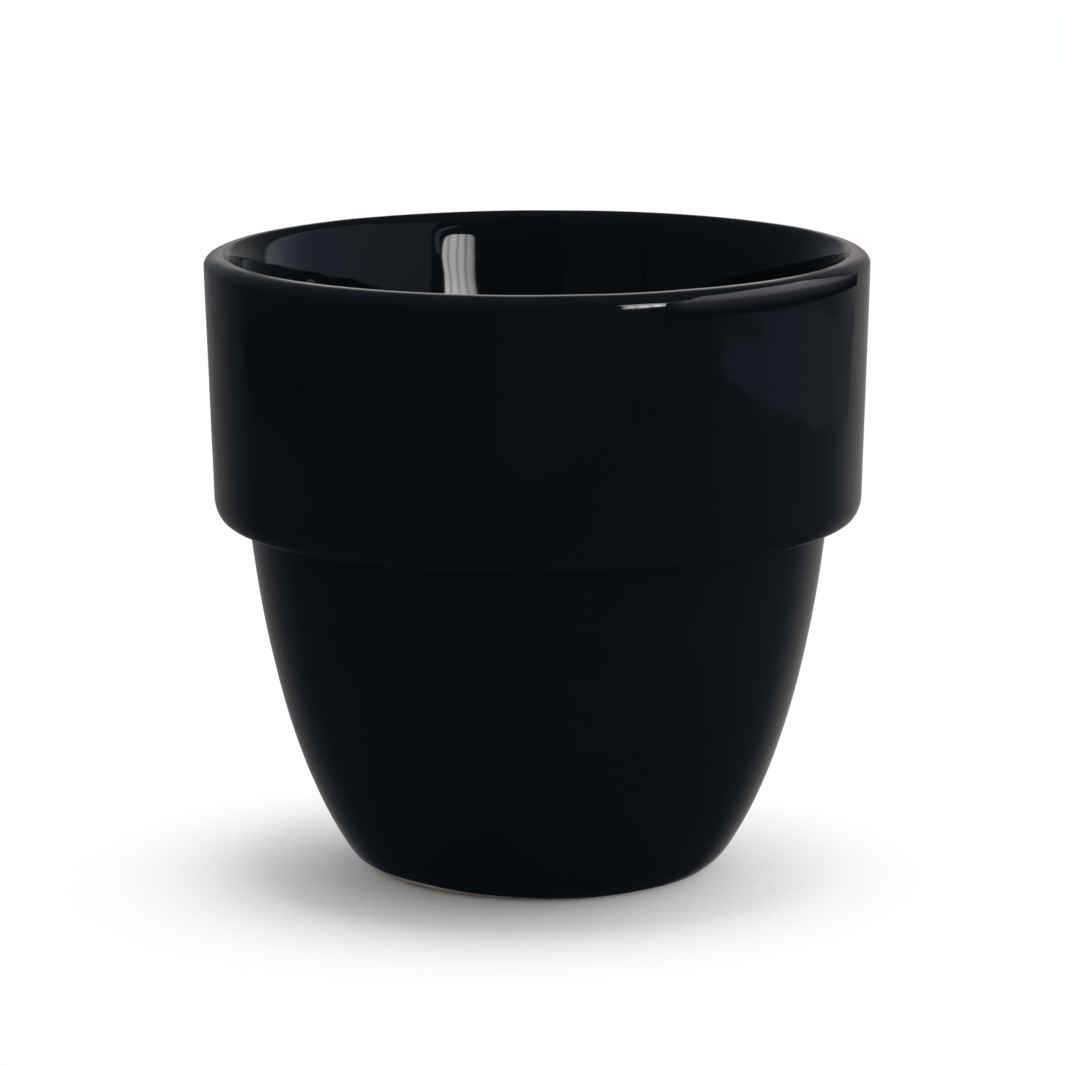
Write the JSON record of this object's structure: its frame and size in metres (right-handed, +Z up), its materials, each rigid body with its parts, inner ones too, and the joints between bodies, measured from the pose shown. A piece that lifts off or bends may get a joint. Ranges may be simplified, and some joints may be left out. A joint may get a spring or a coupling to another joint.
{
  "type": "tasting cup",
  "caption": "Handleless round tasting cup in gloss black glaze: straight collar over a narrower curved bowl, so that cups nest, on a bare clay foot ring.",
  "frame": {"origin": "on the cup's axis, in the plane that the foot ring stands on", "axes": "+Z up along the cup's axis; the cup is round, so +X and +Y are any two level directions, and the picture looks roughly along +Y"},
  "size_m": [0.08, 0.08, 0.0751],
  "materials": {
    "stoneware": "bare fired stoneware, fine-grained and matt",
    "black_glaze": "smooth gloss black glaze with a faint blue cast"
  },
  "bodies": {
    "root": {"clay_body": "stoneware", "glaze_coat": "black_glaze", "foot_recess_glaze": "black_glaze"}
  },
  "joints": []
}
